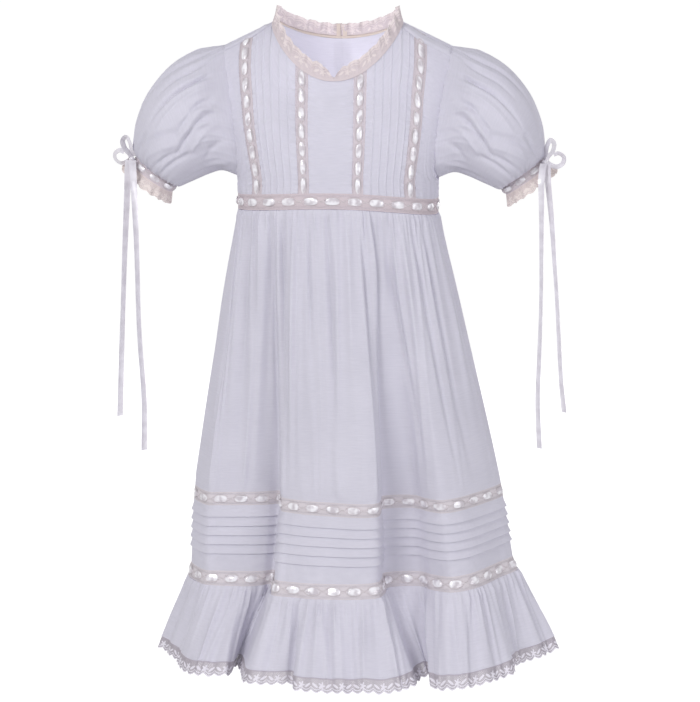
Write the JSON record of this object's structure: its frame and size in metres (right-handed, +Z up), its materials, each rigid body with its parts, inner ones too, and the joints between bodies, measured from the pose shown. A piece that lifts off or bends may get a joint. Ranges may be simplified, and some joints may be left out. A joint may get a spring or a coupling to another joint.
{
  "type": "lace dress",
  "caption": "Child's filled-out dress with puffed sleeves, tucked bodice, lace and ribbon trims, tied cuff bows and a long gathered skirt with a lace-edged ruffle.",
  "frame": {"origin": "centre of the neck opening, level with the points where the shoulders meet the neck", "axes": "+Z up through the neck opening, -Y out of the front, +X to the picture's right as the dress faces the viewer"},
  "size_m": [0.468, 0.2757, 0.6825],
  "materials": {
    "cotton_batiste": "fine plain-woven cotton, matt, slightly sheer",
    "cotton_lace": "fine cotton net and lace, ivory",
    "satin_ribbon": "glossy satin",
    "pearl_button": "pearly, polished"
  },
  "bodies": {
    "root": {"side_front_left": "cotton_batiste", "tucked_panel_left": "cotton_batiste", "centre_front": "cotton_batiste", "tucked_panel_right": "cotton_batiste", "side_front_right": "cotton_batiste", "back_left": "cotton_batiste", "back_right": "cotton_batiste", "button_strip": "cotton_batiste", "upper_skirt_front": "cotton_batiste", "upper_skirt_back": "cotton_batiste", "tucked_band_front": "cotton_batiste", "tucked_band_back": "cotton_batiste", "ruffle_front": "cotton_batiste", "ruffle_back": "cotton_batiste", "sleeve_left": "cotton_batiste", "sleeve_right": "cotton_batiste", "beading_outer_left": "cotton_lace", "beading_inner_left": "cotton_lace", "beading_inner_right": "cotton_lace", "beading_outer_right": "cotton_lace", "neck_binding": "cotton_lace", "neck_lace": "cotton_lace", "waist_beading_front": "cotton_lace", "waist_beading_back": "cotton_lace", "upper_beading_front": "cotton_lace", "upper_beading_back": "cotton_lace", "lower_beading_front": "cotton_lace", "lower_beading_back": "cotton_lace", "hem_lace_front": "cotton_lace", "hem_lace_back": "cotton_lace", "cuff_beading_left": "cotton_lace", "cuff_beading_right": "cotton_lace", "cuff_lace_left": "cotton_lace", "cuff_lace_right": "cotton_lace", "ribbon_outer_left": "satin_ribbon", "ribbon_inner_left": "satin_ribbon", "ribbon_inner_right": "satin_ribbon", "ribbon_outer_right": "satin_ribbon", "waist_ribbon_front": "satin_ribbon", "waist_ribbon_back": "satin_ribbon", "upper_ribbon_front": "satin_ribbon", "upper_ribbon_back": "satin_ribbon", "lower_ribbon_front": "satin_ribbon", "lower_ribbon_back": "satin_ribbon", "cuff_ribbon_left": "satin_ribbon", "cuff_ribbon_right": "satin_ribbon", "bow_loops_left": "satin_ribbon", "bow_knot_left": "satin_ribbon", "bow_loops_right": "satin_ribbon", "bow_knot_right": "satin_ribbon", "tail_left_outer": "satin_ribbon", "tail_left_inner": "satin_ribbon", "tail_right_outer": "satin_ribbon", "tail_right_inner": "satin_ribbon", "button_1": "pearl_button", "button_2": "pearl_button", "button_3": "pearl_button"}
  },
  "joints": []
}
